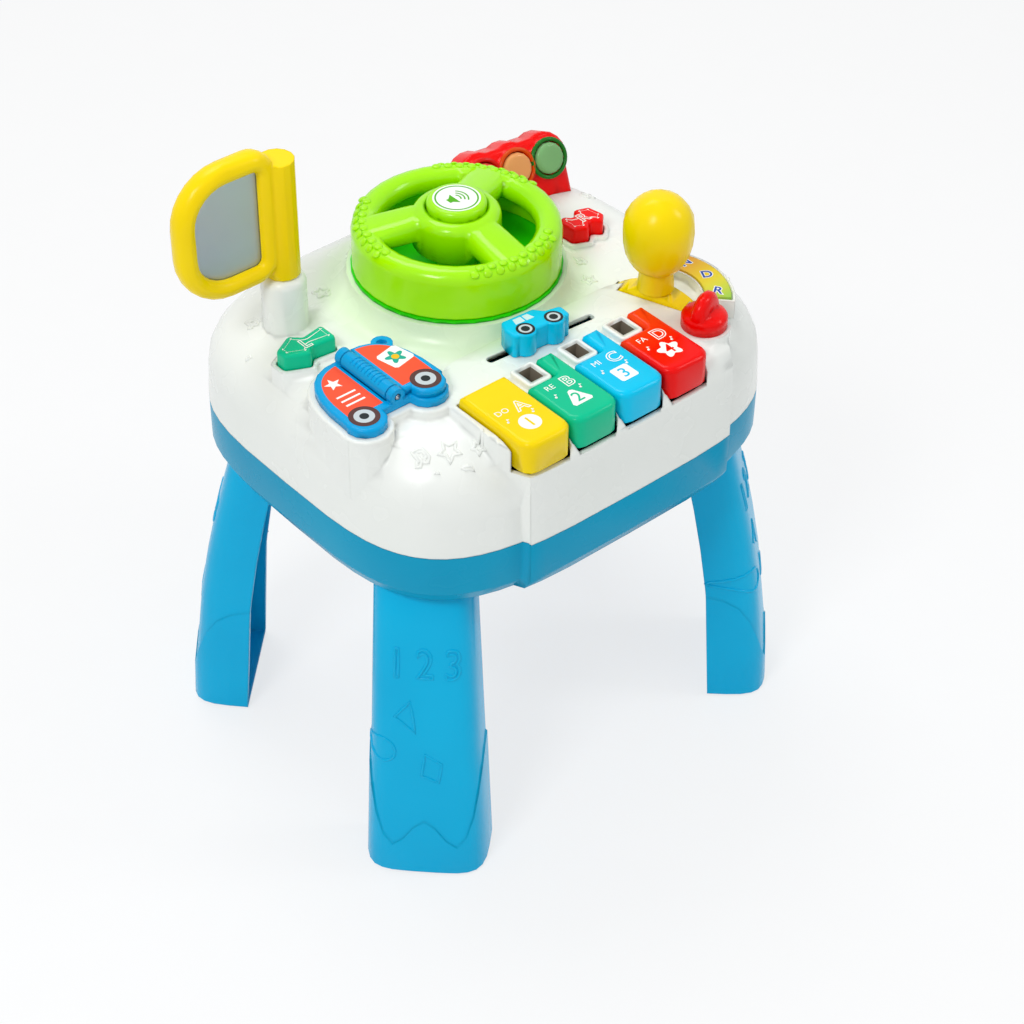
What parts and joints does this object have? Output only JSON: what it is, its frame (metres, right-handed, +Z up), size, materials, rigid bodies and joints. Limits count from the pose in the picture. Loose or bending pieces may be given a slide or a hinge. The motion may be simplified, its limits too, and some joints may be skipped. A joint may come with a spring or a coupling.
{
  "type": "activity table",
  "caption": "Child's activity table: a white deck with steering wheel, mirror, traffic light, flip book, sliding car, piano keys, buttons and levers on a blue tray with splayed legs.",
  "frame": {"origin": "on the floor, under the middle of the whole box", "axes": "+X to the child's right along the keyboard, +Y away from the child, +Z up"},
  "size_m": [0.263, 0.2144, 0.3241],
  "materials": {
    "white_abs": "smooth glossy white injection-moulded plastic",
    "tray_blue_abs": "satin blue moulded plastic",
    "leg_blue_abs": "satin blue moulded plastic",
    "lime_abs": "glossy lime plastic",
    "well_green_abs": "bright green plastic",
    "yellow_abs": "glossy yellow plastic",
    "red_abs": "glossy red plastic",
    "teal_abs": "glossy teal green plastic",
    "sky_blue_abs": "glossy sky blue plastic",
    "book_blue_abs": "glossy blue plastic",
    "steel": "plain bright steel",
    "board_green": "green circuit board",
    "black_plastic": "black speaker body",
    "mirror_film": "soft grey mirror film",
    "dial_yellow": "pale yellow dial plate",
    "lens_red_clear": "tinted lens",
    "lens_amber_clear": "tinted lens",
    "lens_green_clear": "tinted lens",
    "battery_sleeve": "grey cell sleeve"
  },
  "bodies": {
    "table": {"base_tray": "tray_blue_abs", "top_shell": "white_abs", "leg_front_left": "leg_blue_abs", "leg_front_right": "leg_blue_abs", "leg_back_left": "leg_blue_abs", "leg_back_right": "leg_blue_abs", "battery_1": "battery_sleeve", "battery_2": "battery_sleeve", "battery_3": "battery_sleeve", "battery_cover": "tray_blue_abs", "battery_cover_screw": "steel", "body_screw_front_left": "steel", "body_screw_front_right": "steel", "body_screw_back_left": "steel", "body_screw_back_right": "steel", "speaker": "black_plastic", "circuit_board": "board_green", "key_shaft": "steel", "wheel_base": "well_green_abs", "spindle_screw": "steel", "traffic_light": "red_abs", "lens_red": "lens_red_clear", "lens_amber": "lens_amber_clear", "lens_green": "lens_green_clear", "book_base": "book_blue_abs", "book_pin": "steel", "gear_dial": "dial_yellow"},
    "wheel": {"steering_wheel": "lime_abs"},
    "horn": {"horn_button": "white_abs"},
    "mirror": {"mirror_frame": "yellow_abs", "mirror_glass": "mirror_film"},
    "page": {"book_page": "book_blue_abs"},
    "car": {"slider_car": "sky_blue_abs"},
    "first_key": {"key_1": "yellow_abs"},
    "second_key": {"key_2": "teal_abs"},
    "third_key": {"key_3": "sky_blue_abs"},
    "fourth_key": {"key_4": "red_abs"},
    "left_signal": {"button_left": "teal_abs"},
    "right_signal": {"button_right": "red_abs"},
    "lever": {"gear_lever": "yellow_abs"},
    "knob": {"turn_knob": "red_abs"}
  },
  "joints": [
    {"name": "wheel_turn", "type": "hinge", "parent": "table", "child": "wheel", "pos_m": [0.00282, 0.0199, 0.2412], "axis": [0, 0, 1], "range_deg": [-90, 90]},
    {"name": "horn_press", "type": "slide", "parent": "wheel", "child": "horn", "axis": [0, 0, -1], "range_m": [0, 0.0018], "stiffness_N_per_m": 250, "springref_m": -0.003},
    {"name": "mirror_swing", "type": "hinge", "parent": "table", "child": "mirror", "pos_m": [-0.07722, 0.04404, 0.2571], "axis": [0, 0, 1], "range_deg": [-60, 60]},
    {"name": "page_flip", "type": "hinge", "parent": "table", "child": "page", "pos_m": [-0.08163, -0.02273, 0.2401], "axis": [0, -1, 0], "range_deg": [0, 170]},
    {"name": "car_slide", "type": "slide", "parent": "table", "child": "car", "axis": [0.9976, -0.0698, 0], "range_m": [-0.018, 0.025]},
    {"name": "first_key_press", "type": "hinge", "parent": "table", "child": "first_key", "pos_m": [-0.04719, -0.04707, 0.221], "axis": [1, 0, 0], "range_deg": [0, 2.5], "stiffness_Nm_per_rad": 0.3, "springref_deg": -5.73},
    {"name": "second_key_press", "type": "hinge", "parent": "table", "child": "second_key", "pos_m": [-0.02019, -0.04707, 0.221], "axis": [1, 0, 0], "range_deg": [0, 2.5], "stiffness_Nm_per_rad": 0.3, "springref_deg": -5.73},
    {"name": "third_key_press", "type": "hinge", "parent": "table", "child": "third_key", "pos_m": [0.00681, -0.04707, 0.221], "axis": [1, 0, 0], "range_deg": [0, 2.5], "stiffness_Nm_per_rad": 0.3, "springref_deg": -5.73},
    {"name": "fourth_key_press", "type": "hinge", "parent": "table", "child": "fourth_key", "pos_m": [0.03381, -0.04707, 0.221], "axis": [1, 0, 0], "range_deg": [0, 2.5], "stiffness_Nm_per_rad": 0.3, "springref_deg": -5.73},
    {"name": "left_signal_press", "type": "slide", "parent": "table", "child": "left_signal", "axis": [0, 0, -1], "range_m": [0, 0.0025], "stiffness_N_per_m": 250, "springref_m": -0.003},
    {"name": "right_signal_press", "type": "slide", "parent": "table", "child": "right_signal", "axis": [0, 0, -1], "range_m": [0, 0.0025], "stiffness_N_per_m": 250, "springref_m": -0.003},
    {"name": "lever_rock", "type": "hinge", "parent": "table", "child": "lever", "pos_m": [0.06171, -0.0505, 0.2055], "axis": [0.9397, 0.342, 0], "range_deg": [-12, 12]},
    {"name": "knob_turn", "type": "hinge", "parent": "table", "child": "knob", "pos_m": [0.06221, -0.08201, 0.2338], "axis": [0, 0, 1], "range_deg": [-45, 45]}
  ]
}
